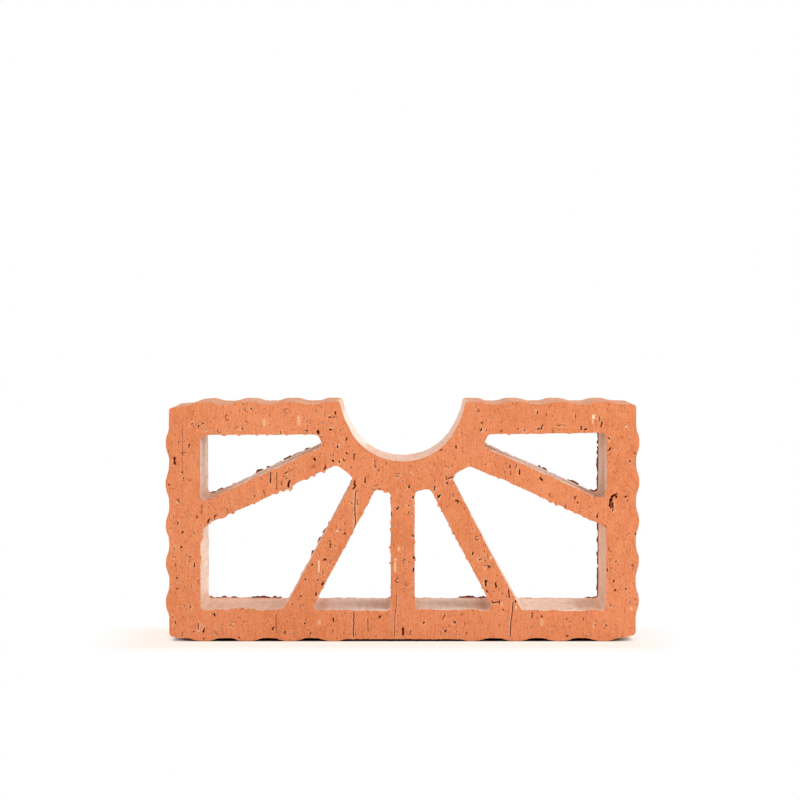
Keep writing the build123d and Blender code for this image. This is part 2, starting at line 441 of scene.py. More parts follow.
def front_marks(outline):
    """The marks of the front face: those listed and the strewn ones."""
    marks = [pit(*values) for values in FRONT_PITS]
    marks += [curl(*values) for values in FRONT_CURLS]
    marks += [drag(*values) for values in FRONT_PALE]
    marks += [Mark(*values, ragged=RAGGED_CRACKS) for values in FRONT_CRACKS]
    marks += [Mark(*values) for values in GOUGE]
    strewn = random_marks(outline, FRONT_WIRE, pits=170, drags=140, curls=14, seed=11, calm_side=1.0)
    return marks + clear_of(marks, strewn)


# The cracks of the back face: the middle of each, and the rise and the wander of its steps
BACK_CRACKS = ((-96, 10), (-34, 70), (22, 9), (100, 142), (139, 70), (-139, 40))
CRACK_RISE = 2.4
CRACK_WANDER = 0.35


def back_marks(outline):
    """The back face's marks, which the photograph doesn't show: cracks and strewn ones like the front's."""
    draw = np.random.default_rng(seed=5)
    cracks = []
    for x, z in BACK_CRACKS:
        bends = np.cumsum(draw.normal(0, CRACK_WANDER, 5))
        line = [(x + bend, z + CRACK_RISE * (step - 2)) for step, bend in enumerate(bends)]
        cracks.append(Mark(line, 0.3, 1.0, 0.8))
    return cracks + random_marks(outline, BACK_WIRE, pits=330, drags=170, curls=30, seed=23)


# The torn edges of the cut faces

# Lumps that stand out of the front edge, or bits broken off (-): x, z, half length and height
FRONT_LUMPS = (
    (-71.9, 97.6, 2.3, 3.3), (-75.6, 96, 1.6, 1.2), (-8.2, 49.6, 1, 1.9), (-8, 59.5, 0.9, 1.2),
    (-7.6, 71, 1.2, 0.7), (8.4, 52.2, 1.7, 1), (-94, 87.6, 1.3, 0.8), (-30.4, 100.4, 1.5, 0.7),
    (-50.6, 27, 1.2, 0.7), (7.6, 63, 1.2, 0.5), (-36.5, 59.5, 1, 0.6), (60.4, 103.4, 1.3, 0.8),
    (96.8, 86.2, 1.4, 0.7), (-49.6, 107.6, 1.8, 1.1), (-126, 69, 7, 1.5), (-128.4, 52, 3, 0.5),
    (-101, 19.8, 9, 0.9), (-74, 19.8, 6, 0.9), (42, 19.8, 6, 0.8), (-14, 19.8, 8, -0.9), (27, 19.8, 5, -0.4),
    (90, 19.8, 4, -0.4), (107, 19.8, 9, -0.6), (126.4, 91.4, 4.4, 1.3), (56, 27.6, 2.2, 0.8),
    (-60, 103.2, 1.6, 0.6), (52.6, 44, 1.6, 0.7),
)
OUTER_TEAR = 0.22
LEVEL_CALM = 0.4
CALM_RIGHT = 0.45
CALM_RIGHT_SPAN = (30.0, 120.0)
CALM_ARCHES = ((43.0, 108.0), (-42.0, 108.0))
ARCH_REACH = 10.0
WORN_FOOT = 0.15
BACK_STRENGTH = 0.4

# Wavelengths of an edge's waves, teeth, broken bits and lobes
TEAR_WAVELENGTHS = (5.5, 1.7, 3.0, 7.5)


def torn_edge(outline, wire, seed, strength=1.0, lumps=()):
    """How far each outline point stands out of the clay, or is broken off (-), on the edge of a cut face."""
    upward = outline.normals[:, 1]
    leaving = smoothstep(-0.1, 0.75, outline.normals @ wire) * np.where(outline.outer, OUTER_TEAR, 1.0)
    leaving *= 1.0 - LEVEL_CALM * smoothstep(0.965, 0.995, np.abs(upward))
    leaving *= 1.0 - CALM_RIGHT * smoothstep(*CALM_RIGHT_SPAN, outline.points[:, 0])
    for x, z in CALM_ARCHES:
        leaving *= smoothstep(0.4 * ARCH_REACH, ARCH_REACH, outline.distance_to(x, z))
    entering = smoothstep(0.75, 0.95, upward) * ~outline.outer
    places = in_space(outline.points)
    fields = [field(places, length, seed + number) for number, length in enumerate(TEAR_WAVELENGTHS)]
    waves, teeth, bits, lobes = fields
    bits = smoothstep(0.15, 0.42, bits)
    edge = 0.12 * waves + 0.09 * teeth + strength * leaving * (0.5 * waves + 0.45 * teeth + bits - 0.2)
    edge += strength * entering * (0.6 * lobes + 0.3 * teeth)
    edge -= WORN_FOOT * outline.outer * smoothstep(0.5, 0.9, -upward)
    for x, z, half_length, height in lumps:
        distance = outline.distance_to(x, z) / half_length
        edge += height * np.sqrt(np.clip(1.0 - distance ** 2, 0.0, 1.0)) * (1.0 + 0.5 * teeth)
    return edge


# Stretches of the back edge where a burr stands: x, z of the middle, half its length, and its height
BACK_BURRS = (
    (-118.2, 19.8, 9.4, 1.4), (-90, 19.8, 10, 1.4), (45.8, 19.8, 8.6, 1.8), (124.4, 20.4, 4.6, 1.5),
    (128.4, 112, 20, 1.5), (126.6, 91.6, 4.2, 1.6), (-94.2, 103, 2.6, 1.4), (-88.1, 105.8, 1.6, 1),
    (-76, 112.4, 2.8, 1.8), (-62.8, 118.2, 2, 1.3), (-122.5, 90.4, 4.4, 1.9), (91.8, 104.8, 3.4, 1.6),
    (112.2, 96.6, 4, 1.7), (-34, 100.6, 1.8, 1.3), (-8, 26, 1.6, 0.7), (128.4, 48, 28, 1.4), (54, 22.4, 2, 1),
    (-51, 64, 2, 1.3), (-54.4, 57.6, 2.6, 1.1), (-58.6, 49.6, 1.8, 0.9), (-127.6, 129.6, 1.6, 1.2),
)
TALLEST_BURR = 1.7
STREWN_BURR = 0.45


def back_burr(outline):
    """The height of the burr along the back edge, which stands out into the openings here and there."""
    places = in_space(outline.points)
    stretches = field(places, 14.0, seed=31)
    teeth = 0.85 + 0.8 * field(places, 2.4, seed=32) + 0.4 * field(places, 1.1, seed=33)
    burr = STREWN_BURR * smoothstep(0.6, 0.9, outline.normals @ BACK_WIRE) * smoothstep(0.20, 0.28, stretches)
    for x, z, half_length, height in BACK_BURRS:
        share = 1.0 - smoothstep(half_length - 0.8, half_length + 0.6, outline.distance_to(x, z))
        burr = np.maximum(burr, height * share)
    return np.clip(burr * teeth, 0.0, TALLEST_BURR) * ~outline.outer


# Slow departures of the whole block from its drawn section

ACROSS = (-150.0, -128.0, -70.0, 60.0, 100.0, 128.0, 150.0)
SHIFTED_RIGHT = (0.0, 0.5, 0.3, 0.1, 0.5, 0.7, 0.0)
TOP_BAR_SAG = (-0.6, -0.6, -0.3, -0.1, 0.4, 0.8, 0.0)
HUB_HEIGHT = 98.0
HUB_LIFT = 0.7
RAY_TILT = 0.4
NOTCH_RADIUS = 37.8
NOTCH_CENTRE = 151.0
NOTCH_CLOSING = 0.6
NOTCH_FLARE = 2.5
FLARE_FOOT = 136.0
LEFT_END = (136.0, 148.0)
END_HEIGHTS = (0.0, 25.0, 50.0, 75.0, 100.0, 126.0, 152.0)
LEFT_RIDGES_LIFTED = (0.0, -1.3, -1.1, -2.6, -1.0, 0.0, 0.0)
WAVER = 0.2
WAVER_WAVELENGTH = 60.0
SLUMP_START_X = -122.0
SLUMP_DEPTH = 2.5
SLUMP_FOOT = 133.0
LEFT_FOOT_START_X = -138.0
LEFT_FOOT_LIFT = 2.2
RIGHT_FOOT_START_X = 136.0
RIGHT_FOOT_LIFT = 3.2
FOOT_HEIGHT = 11.0

# Where the arches of the two large openings stand higher, or lower (-): x, z, how far around and how much
ARCH_LIFTS = ((35, 105, 5.5, 1.4), (44, 109, 5, -1.1), (53, 107, 5, -0.9), (-36, 107, 5, 1.3))


def bell(value, middle, width):
    """1 at the middle, falling off smoothly on both sides."""
    return np.exp(-((value - middle) / width) ** 2)


def bent(places):
    """The section's slow bends, of about 2.6 mm at the most."""
    x, z = places[:, 0], places[:, 2]
    moved = places.copy()
    moved[:, 0] += np.interp(x, ACROSS, SHIFTED_RIGHT) + WAVER * field(places, WAVER_WAVELENGTH, seed=41)
    moved[:, 2] += HUB_LIFT * bell(x, 0.0, 45.0) * bell(z, HUB_HEIGHT, 20.0)
    moved[:, 2] += np.interp(x, ACROSS, TOP_BAR_SAG) * bell(z, 131.0, 12.0)
    moved[:, 2] += RAY_TILT * np.tanh(x / 50.0) * bell(z, HUB_HEIGHT, 16.0)
    moved[:, 2] += WAVER * field(places, WAVER_WAVELENGTH, seed=42) * smoothstep(0.0, 20.0, z)
    for arch_x, arch_z, reach, lift in ARCH_LIFTS:
        moved[:, 2] += lift * bell(np.hypot(x - arch_x, z - arch_z), 0.0, reach)
    distance = np.hypot(x, z - NOTCH_CENTRE)
    closing = NOTCH_CLOSING * bell(distance, NOTCH_RADIUS, 10.0) / distance
    moved[:, 0] -= closing * x
    moved[:, 2] -= closing * (z - NOTCH_CENTRE)
    beside = 1.0 - smoothstep(NOTCH_RADIUS + 2.0, NOTCH_RADIUS + 22.0, distance)
    flare = NOTCH_FLARE * np.clip((z - FLARE_FOOT) / (HEIGHT - FLARE_FOOT), 0.0, 1.0) * beside
    moved[:, 0] += np.sign(x) * flare
    moved[:, 2] += np.interp(z, END_HEIGHTS, LEFT_RIDGES_LIFTED) * smoothstep(*LEFT_END, -x)
    return moved


def slumped(places):
    """Three corners have slumped: the top left one, and both at the foot, which curl up."""
    x, z = places[:, 0], places[:, 2]
    moved = places.copy()
    towards_corner = np.clip((SLUMP_START_X - x) / (SLUMP_START_X - LOW[0]), 0.0, 1.0)
    moved[:, 2] -= SLUMP_DEPTH * towards_corner ** 1.2 * smoothstep(SLUMP_FOOT, HEIGHT, z)
    near_floor = 1.0 - smoothstep(0.0, FOOT_HEIGHT, z)
    left = np.clip((LEFT_FOOT_START_X - x) / (LEFT_FOOT_START_X - LOW[0]), 0.0, 1.0)
    right = np.clip((x - RIGHT_FOOT_START_X) / (HIGH[0] - RIGHT_FOOT_START_X), 0.0, 1.0)
    moved[:, 2] += (LEFT_FOOT_LIFT * left ** 1.8 + RIGHT_FOOT_LIFT * right ** 1.5) * near_floor
    return moved


def warped(places):
    """All slow departures together."""
    return slumped(bent(places))


# Building the mesh

TAPERED_NORMAL = np.array([0.882, 0.471])
TAPER = 0.45

# Least distances of guides, band and grid from other corners, the grid's in spacings, and from the edge
GUIDE_GAP = 0.18
BAND_GAP = 0.33
GRID_GAP = 0.52
EDGE_GAPS = (0.22, 0.28, 0.8)

# How far from a mark's line its hollow, tint of painted shade and paleness, and highlighted rim fade, and how
# far aside its rim lies, in half widths
HOLLOW_FADE = (0.35, 1.15)
TINT_FADE = (0.55, 1.15)
RIM_FADE = (1.1, 1.9)
RIM_ASIDE = (-0.5, 0.7)
MARK_REACH = 2.2
# How much painted highlight a pit's rim takes, and how much painted shade a broken nick takes
RIM_HIGHLIGHT = 0.45
NICK_SHADE = 0.6


def face_points(outline, marks, spacing):
    """Places of a cut face's inner mesh corners: guides for the marks, a band along the edges and a grid."""
    band = (outline.points - outline.normals * BAND_INSET)[::2]
    guides = np.array([point for mark in marks for point in mark.guide_points()])
    draw = np.random.default_rng(seed=3)
    columns = np.arange(LOW[0], HIGH[0], spacing)
    rows = np.arange(LOW[2], HIGH[2], spacing * math.sqrt(3) / 2)
    grid = np.array([(x + (number % 2) * spacing / 2, z) for number, z in enumerate(rows) for x in columns])
    grid += draw.uniform(-GRID_JITTER, GRID_JITTER, grid.shape) * spacing
    points = np.vstack([guides, band, grid])
    counts = (len(guides), len(band), len(grid))
    least_gap = np.repeat((GUIDE_GAP, BAND_GAP, GRID_GAP * spacing), counts)
    inside = outline.depth(points) > np.repeat(EDGE_GAPS, counts)
    return thinned(points[inside], least_gap[inside])


def thinned(points, least_gap):
    """Keeps each point unless an earlier one lies nearer than its gap."""
    cell = float(least_gap.max())
    kept, cells = [], {}
    for number, ((x, z), gap) in enumerate(zip(points.tolist(), least_gap.tolist())):
        home = (math.floor(x / cell), math.floor(z / cell))
        around = [(home[0] + i, home[1] + j) for i in (-1, 0, 1) for j in (-1, 0, 1)]
        if all(math.hypot(x - px, z - pz) >= gap for key in around for px, pz in cells.get(key, ())):
            cells.setdefault(home, []).append((x, z))
            kept.append(number)
    return points[kept]


class Face:
    """One cut face: its places (x, z), how deep each lies under the cutting plane, tints and triangles."""

    def __init__(self, outline, marks, edge, spacing, seed):
        inner = face_points(outline, marks, spacing)
        self.flat = np.vstack([outline.points, inner])
        self.triangles = self.triangulated(outline)
        self.mark(marks, seed)
        self.darken_nicks(outline, edge)
        self.move_with_edge(outline, edge)
        self.add_relief(outline, seed)

    def triangulated(self, outline):
        """The triangles in the clay: those with an inner corner, or with a ring's edge in its direction."""
        corners = [Vector(point) for point in self.flat]
        ring_edges = list(enumerate(outline.after.tolist()))
        made = geometry.delaunay_2d_cdt(corners, ring_edges, [], 0, 1e-7)
        if len(made[0]) != len(corners):
            raise ValueError("the triangulation merged or added corners")
        triangles = np.array(made[2])
        count = len(outline.points)
        inner = triangles.max(1) >= count
        on_rings = triangles[~inner]
        along = (outline.after[on_rings] == np.roll(on_rings, -1, 1)).any(1)
        return np.vstack([triangles[inner], on_rings[along]])

    def mark(self, marks, seed):
        """The marks hollow the face and darken it with painted shade. Beside a pit stands a raised rim, paler
        with a painted highlight.
        """
        self.dark, self.depth, self.pale, self.rim = np.zeros((4, len(self.flat)))
        draw = np.random.default_rng(seed)
        for mark in marks:
            reach = mark.half_width * MARK_REACH + 0.2
            low, high = mark.line.min(0) - reach, mark.line.max(0) + reach
            near = np.flatnonzero(((self.flat > low) & (self.flat < high)).all(1))
            distance = mark.distance(self.flat[near])
            aside = draw.uniform(*RIM_ASIDE, 2) * (mark.half_width + 0.1)
            beside = mark.distance(self.flat[near] + aside)
            ring = mark.dark * (1.0 - smoothstep(*RIM_FADE, beside)) * draw.uniform(0.0, 1.0)
            tint = 1.0 - smoothstep(*TINT_FADE, distance)
            hollow = mark.depth * (1.0 - smoothstep(*HOLLOW_FADE, distance))
            for values, new in ((self.depth, hollow), (self.dark, mark.dark * tint),
                                (self.pale, mark.pale * tint), (self.rim, ring)):
                values[near] = np.maximum(values[near], new)
        self.rim *= 1.0 - self.dark
        self.pale = np.maximum(self.pale, RIM_HIGHLIGHT * self.rim)

    def darken_nicks(self, outline, edge):
        """Where a bit has broken out of the edge, painted shade darkens the torn clay."""
        count = len(outline.points)
        worn = smoothstep(0.12, 0.45, -edge) * ~outline.outer * (outline.normals[:, 1] < 0.3)
        self.dark[:count] = np.maximum(self.dark[:count], NICK_SHADE * worn)

    def move_with_edge(self, outline, edge):
        """Moves the edge by its tear, and what lies beside it by less and less."""
        number, distance = outline.nearest(self.flat)
        share = np.clip(1.0 - distance / EDGE_FADE, 0.0, 1.0) ** 2
        self.flat = self.flat + outline.normals[number] * (edge[number] * share)[:, None]

    def add_relief(self, outline, seed):
        """The cut surface: gentle waves, torn grain, and faint grooves along the wire's way."""
        places = in_space(self.flat)
        waves = 0.16 * field(places, 13.0, seed) + 0.16 * field(places, 3.2, seed + 1)
        grooves = 0.14 * field(places, (1.5, 1.0, 18.0), seed + 2)
        self.depth = np.clip(0.26 + waves + grooves - 0.12 * self.rim, 0.0, None) + self.depth


# Walls: their unevenness, how far in they lie, how soon the tear and the burr of an edge fade, where a burr
# is brown, and how far the tinted rims reach
SWELL = 0.22
SWELL_WAVELENGTHS = (14.0, 70.0, 14.0)
WALL_INSET = 0.12
EDGE_DECAY = 0.7
BURR_OUT = 0.8
BURR_BROWNED = (0.35, 0.75)
BURR_BROWN_ROWS = (1.0, 0.55)
FRONT_RIM = 1.3
BACK_RIM = 2.0

# The numbers of the two materials, and the tints that they read
CUT = 0
SKIN = 1
TINTS = ("dark", "pale", "burr", "ash", "front_rim", "back_rim")


def taper(outline):
    """How much further in each wall's back edge lies than its front one: on the steep right ray alone."""
    facing = outline.normals @ TAPERED_NORMAL
    on_ray = smoothstep(0.97, 0.99, facing) * smoothstep(12.0, 24.0, outline.points[:, 0])
    return TAPER * on_ray * ~outline.outer


def wall_row(outline, edge, y):
    """One ring of wall corners at depth y: the outline moved by edge, and by the die's slight unevenness."""
    swell = SWELL * field(in_space(outline.points, y), SWELL_WAVELENGTHS, seed=51)
    out = edge + swell - WALL_INSET - taper(outline) * (y + HALF_DEPTH) / (2 * HALF_DEPTH)
    return in_space(outline.points + outline.normals * out[:, None], y)


def new_object(name, data, place=ORIGIN, turn=ORIGIN):
    made = bpy.data.objects.new(name, data)
    made.location = place
    made.rotation_euler = turn
    bpy.context.scene.collection.objects.link(made)
    return made


class Builder:
    """Collects corners, faces and tints, and makes one mesh object of them."""

    def __init__(self):
        self.corners, self.faces = [], []
        self.tints = {name: [] for name in TINTS}
        self.count = 0

    def add_corners(self, places, **tints):
        """Adds corners and returns their numbers. A tint that isn't given is 0."""
        self.corners.append(places)
        for name, values in self.tints.items():
            values.append(np.broadcast_to(np.asarray(tints.get(name, 0.0), float), len(places)))
        numbers = np.arange(self.count, self.count + len(places))
        self.count += len(places)
        return numbers

    def add_faces(self, faces, material):
        self.faces.append((np.asarray(faces), material))

    def object(self, name, materials):
        places = np.clip(warped(np.vstack(self.corners)), LOW, HIGH)
        mesh = bpy.data.meshes.new(name)
        polygons = [face for faces, _ in self.faces for face in faces.tolist()]
        mesh.from_pydata((places * MM).tolist(), [], polygons)
        index = np.concatenate([np.full(len(faces), material) for faces, material in self.faces])
        mesh.polygons.foreach_set("material_index", index)
        mesh.polygons.foreach_set("use_smooth", np.ones(len(index), bool))
        for tint, values in self.tints.items():
            attribute = mesh.attributes.new(tint, "FLOAT", "POINT")
            attribute.data.foreach_set("value", np.concatenate(values).astype(np.float32))
        for material in materials:
            mesh.materials.append(material)
        mesh.set_sharp_from_angle(angle=math.radians(SHARP_ANGLE))
        return new_object(name, mesh)


def join(builder, outline, upper, lower):
    """Faces between two rings of corners, fine or coarse, of which lower lies further back."""
    if len(upper) == len(lower):
        after = outline.after if len(upper) == len(outline.after) else outline.coarse_after
        builder.add_faces(np.column_stack([upper, lower, lower[after], upper[after]]), SKIN)
        return
    after = outline.coarse_after
    fine, here = (upper, lower) if len(upper) > len(lower) else (lower, upper)
    start, middle, there = fine[::2], fine[1::2], here[after]
    for corners in ((start, here, middle), (here, there, middle), (there, start[after], middle)):
        ordered = corners if fine is upper else corners[::-1]
        builder.add_faces(np.column_stack(ordered), SKIN)


# Where the walls are ashen, which is partly a pale scum and partly painted light on the inner walls: x, z,
# how far around, and how much
ASH_AND_PAINTED_LIGHT = (
    (-128.4, 110, 24, 1), (-128.4, 50, 34, 1), (-30, 19.8, 26, 0.95), (30, 19.8, 26, 0.95),
    (128.4, 108, 24, 0.8), (-80, 108, 44, 1), (84, 108, 44, 1), (72, 48, 34, 1), (44, 64, 40, 1),
    (-62, 48, 24, 0.6), (90, 19.8, 30, 0.8), (-36, 130, 20, 1),
)
LEAST_ASH_AND_LIGHT = 0.5


def ash(outline):
    """How ashen each outline point's wall is: a pale scum, and partly painted light on the inner walls. The
    outer walls have no ash, but the notch has.
    """
    share = np.full(len(outline.points), LEAST_ASH_AND_LIGHT)
    from_notch = outline.distance_to(0.0, NOTCH_CENTRE)
    bare = outline.outer * smoothstep(NOTCH_RADIUS, NOTCH_RADIUS + 3.0, from_notch)
    for x, z, reach, strength in ASH_AND_PAINTED_LIGHT:
        fading = smoothstep(0.6 * reach, reach, outline.distance_to(x, z))
        share = np.maximum(share, strength * (1.0 - fading))
    return share * (1.0 - bare)


def rims(y):
    """How much a wall at depth y shows the rim of the front face and that of the back one."""
    to_front, to_back = HALF_DEPTH + y, HALF_DEPTH - y
    return {"front_rim": math.exp(-to_front / FRONT_RIM), "back_rim": math.exp(-to_back / BACK_RIM)}


def add_walls(builder, outline, front_ring, back_ring, front_edge, back_edge, browned):
    """All walls of the block, row by row from the front face to the back one. Calm rows are coarse."""
    near = [(depth, math.exp(-depth / EDGE_DECAY)) for depth in FINE_ROWS]
    calm = [depth - HALF_DEPTH for depth in COARSE_ROWS]
    rows = [(depth - HALF_DEPTH, share * front_edge, 0.0) for depth, share in near]
    rows += [(y, None, 0.0) for y in calm + [-y for y in calm[-2::-1]]]
    rows += [(HALF_DEPTH - depth, share * back_edge, brown * browned)
             for (depth, share), brown in zip(near[::-1], BURR_BROWN_ROWS[::-1])]
    ash_and_light = ash(outline)
    upper = front_ring
    for y, edge, brown in rows:
        if edge is None:
            lower = builder.add_corners(wall_row(outline, 0.0, y)[::2], ash=ash_and_light[::2], **rims(y))
        else:
            lower = builder.add_corners(wall_row(outline, edge, y), burr=brown, ash=ash_and_light, **rims(y))
        join(builder, outline, upper, lower)
        upper = lower
    join(builder, outline, upper, back_ring)


def block(outline, materials):
    """The whole block as one closed mesh."""
    builder = Builder()
    burr = back_burr(outline)
    browned = smoothstep(*BURR_BROWNED, burr)
    front_edge = torn_edge(outline, FRONT_WIRE, seed=1, lumps=FRONT_LUMPS)
    back_edge = torn_edge(outline, BACK_WIRE, seed=7, strength=BACK_STRENGTH) + BURR_OUT * burr
    front = Face(outline, front_marks(outline), front_edge, FRONT_GRID, seed=61)
    back = Face(outline, back_marks(outline), back_edge - taper(outline), BACK_GRID, seed=71)
    count = len(outline.points)
    on_ring = np.concatenate([browned, np.zeros(len(back.flat) - count)])
    front_places = in_space(front.flat, front.depth - HALF_DEPTH)
    back_places = in_space(back.flat, HALF_DEPTH - back.depth)
    front_numbers = builder.add_corners(front_places, dark=front.dark, pale=front.pale)
    back_numbers = builder.add_corners(back_places, dark=back.dark, pale=back.pale, burr=on_ring)
    builder.add_faces(front_numbers[front.triangles], CUT)
    builder.add_faces(back_numbers[back.triangles][:, ::-1], CUT)
    add_walls(builder, outline, front_numbers[:count], back_numbers[:count], front_edge, back_edge, browned)
    return builder.object("clay_block", materials)


# Materials

def srgb(red, green, blue):
    """A colour given in 0 to 255 as the linear values that the shader takes."""
    shares = [value / 255 for value in (red, green, blue)]
    return [s / 12.92 if s <= 0.04045 else ((s + 0.055) / 1.055) ** 2.4 for s in shares] + [1.0]


class Shader:
    """A material's nodes, with a short way to add each kind."""

    def __init__(self, name, world=False):
        self.material = (bpy.data.worlds if world else bpy.data.materials).new(name)
        self.material.use_nodes = True
        self.nodes = self.material.node_tree.nodes
        self.links = self.material.node_tree.links
        self.surface = self.nodes["Background" if world else "Principled BSDF"]
        self.metres = self.add("TexCoord")["Object"]
        self.place = self.vector("MULTIPLY", self.metres, (1 / MM,) * 3)

    def feed(self, node, values):
        """Sets or links a node's inputs, which are given by name or number."""
        for key, value in values.items():
            if isinstance(value, bpy.types.NodeSocket):
                self.links.new(value, node.inputs[key])
            else:
                node.inputs[key].default_value = value

    def add(self, kind, inputs=(), **settings):
        """Adds a node, and returns its outputs."""
        node = self.nodes.new("ShaderNode" + kind)
        for name, value in settings.items():
            setattr(node, name, value)
        self.feed(node, dict(inputs))
        return node.outputs

    def vector(self, operation, a, b=ORIGIN):
        outputs = self.add("VectorMath", {0: a, 1: b}, operation=operation)
        return outputs["Value" if operation == "LENGTH" else "Vector"]

    def noise(self, wavelength, detail=2.0, roughness=0.5, distortion=0.0):
        """Noise of that wavelength in mm, which is one length or one for each axis."""
        place = self.vector("MULTIPLY", self.place, 1.0 / np.broadcast_to(wavelength, 3))
        inputs = {"Vector": place, "Scale": 1.0, "Detail": detail, "Roughness": roughness}
        return self.add("TexNoise", {**inputs, "Distortion": distortion})["Fac"]

    def math(self, operation, *values):
        return self.add("Math", enumerate(values), operation=operation)[0]

    def ranged(self, value, low, high, to_low=0.0, to_high=1.0):
        return self.add("MapRange", enumerate((value, low, high, to_low, to_high)))[0]

    def mixed(self, share, a, b):
        return self.add("Mix", {"Factor": share, 6: a, 7: b}, data_type="RGBA")[2]

    def layered(self, colour, layers):
        """Lays colours over the first one. Each layer has its share and its colour in 0 to 255."""
        for share, tone in layers:
            colour = self.mixed(share, colour, srgb(*tone))
        return colour

    def tint(self, name):
        return self.add("Attribute", attribute_name=name)["Fac"]

    def bump(self, height, distance, strength):
        return self.add("Bump", {"Height": height, "Distance": distance * MM, "Strength": strength})[0]

    def finish(self, colour, roughness, normal, specular):
        self.feed(self.surface, {"Base Color": colour, "Roughness": roughness, "Normal": normal})
        self.feed(self.surface, {"Specular IOR Level": specular})
        return self.material


# Colours of the painted shade in pits, cracks and nicks, from its pale edge to its deep middle, and the
# colour of a burr
PALE_PIT_SHADE = (150, 70, 34)
DEEP_PIT_SHADE = (78, 26, 6)
BURR_BROWN = (120, 48, 22)


def cut_clay():
    """The wire-cut faces: orange clay with fine drag streaks, pores and pale grains, and painted shade in
    pits, cracks and nicks.
    """
    shader = Shader("cut_clay")
    broad = shader.noise(52.0, 2.0)
    middle = shader.noise((5.0, 5.0, 8.0), 4.0, 0.62)
    grain = shader.noise(0.85, 3.0, 0.65)
    streaks = shader.noise((0.9, 0.9, 13.0), 3.0, 0.6)
    pores = shader.noise((0.85, 0.85, 1.3), 1.5, 0.5, 0.4)
    dashes = shader.noise((0.6, 0.6, 3.6), 1.0, 0.5)
    ash = shader.noise((4.5, 4.5, 10.0), 3.0, 0.6)
    colour = shader.mixed(shader.ranged(broad, 0.32, 0.68), srgb(215, 125, 80), srgb(226, 138, 95))
    holes = shader.ranged(pores, 0.66, 0.70)
    scratches = shader.ranged(dashes, 0.69, 0.73)
    colour = shader.layered(colour, (
        (shader.ranged(middle, 0.38, 0.64, 0.0, 0.7), (228, 143, 98)),
        (shader.ranged(ash, 0.60, 0.78, 0.0, 0.45), (208, 145, 118)),
        (shader.ranged(streaks, 0.52, 0.70, 0.0, 0.42), (186, 102, 60)),
        (shader.ranged(streaks, 0.30, 0.44, 0.25, 0.0), (236, 155, 110)),
        (shader.ranged(grain, 0.54, 0.72, 0.0, 0.5), (188, 104, 62)),
        (shader.ranged(grain, 0.28, 0.40, 0.75, 0.0), (245, 178, 131)),
        (shader.math("MULTIPLY", scratches, 0.5), (140, 76, 40)),
        (shader.math("MULTIPLY", holes, 0.62), (125, 62, 32)),
        # pale: drag marks and lime specks, and a painted highlight on the rims beside pits; dark: painted
        # shade in pits, cracks and nicks
        (shader.tint("pale"), (250, 220, 184)),
        (shader.ranged(shader.tint("dark"), 0.08, 0.70), PALE_PIT_SHADE),
        (shader.ranged(shader.tint("dark"), 0.45, 0.95), DEEP_PIT_SHADE),
        (shader.tint("burr"), BURR_BROWN),
    ))
    height = shader.math("MULTIPLY_ADD", streaks, 0.6, grain)
    height = shader.math("SUBTRACT", height, shader.math("MAXIMUM", holes, scratches))
    return shader.finish(colour, 0.95, shader.bump(height, 0.3, 0.6), 0.02)


def die_skin():
    """The walls that slid along the die: smoother and paler, partly by painted light, with fine drag lines,
    scum and small pores.
    """
    shader = Shader("die_skin")
    lines = shader.noise((0.55, 70.0, 0.55), 3.0, 0.6)
    bands = shader.noise((2.6, 50.0, 2.6), 3.0, 0.62)
    scum = shader.noise((5.0, 9.0, 5.0), 5.0, 0.7, 0.2)
    clouds = shader.noise((30.0, 38.0, 30.0), 2.0, 0.5)
    grain = shader.noise(0.7, 3.0, 0.65)
    pores = shader.noise((0.9, 1.6, 0.9), 1.5, 0.5, 0.4)
    colour = shader.mixed(shader.ranged(clouds, 0.36, 0.64), srgb(212, 146, 110), srgb(222, 160, 126))
    holes = shader.ranged(pores, 0.68, 0.72)
    colour = shader.layered(colour, (
        (shader.ranged(scum, 0.48, 0.66, 0.0, 0.35), (234, 190, 164)),
        (shader.ranged(scum, 0.50, 0.36, 0.0, 0.5), (194, 146, 124)),
        (shader.ranged(lines, 0.50, 0.70, 0.0, 0.4), (194, 136, 106)),
        # ash: pale scum on the inner walls, and partly painted light there
        (shader.math("MULTIPLY", shader.tint("ash"), 0.93), (254, 238, 224)),
        (shader.ranged(scum, 0.48, 0.34, 0.0, 0.3), (194, 146, 124)),
        (shader.ranged(bands, 0.50, 0.68, 0.0, 0.24), (190, 144, 122)),
        (shader.ranged(grain, 0.52, 0.72, 0.0, 0.32), (192, 138, 112)),
        (shader.math("MULTIPLY", holes, 0.6), (132, 72, 44)),
        (shader.math("MULTIPLY", shader.tint("front_rim"), 0.6), (246, 212, 190)),
        (shader.math("MULTIPLY", shader.tint("back_rim"), 0.9), (238, 158, 110)),
        (shader.tint("burr"), BURR_BROWN),
    ))
    height = shader.math("MULTIPLY_ADD", lines, 0.8, shader.math("MULTIPLY", grain, 0.5))
    height = shader.math("SUBTRACT", shader.math("ADD", height, bands), holes)
    return shader.finish(colour, 0.9, shader.bump(height, 0.25, 0.5), 0.1)


# Floor, light and camera

# Lengths in metres. Shadow and bounce lie a little aside, and the block's curled ends are off the floor.
WHITE = (1.0, 1.0, 1.0, 1.0)
SKY_LIGHT = 0.95
FLOOR_SIZE = 8.0
FLOOR_PAINT = (0.93, 0.93, 0.93, 1.0)
# Painted shadow: the floor's dark paint under the block
PAINTED_SHADOW_UNDER_BLOCK = (0.10, 0.075, 0.06, 1.0)
# Painted warm bounce light from the clay on the floor near the block
BOUNCE = (1.0, 0.90, 0.81, 1.0)
SHADOW_REACH = 0.0022
SHADOW_SIDE = (0.0, -0.0005, 0.0)
SHADOW_NARROWER = 0.005
BOUNCE_REACH = 0.036
BOUNCE_SIDE = (-0.010, -0.022, 0.0)
CURLED_ENDS = 0.020
CURL_FADE = 0.012
CONTACT = 0.0002


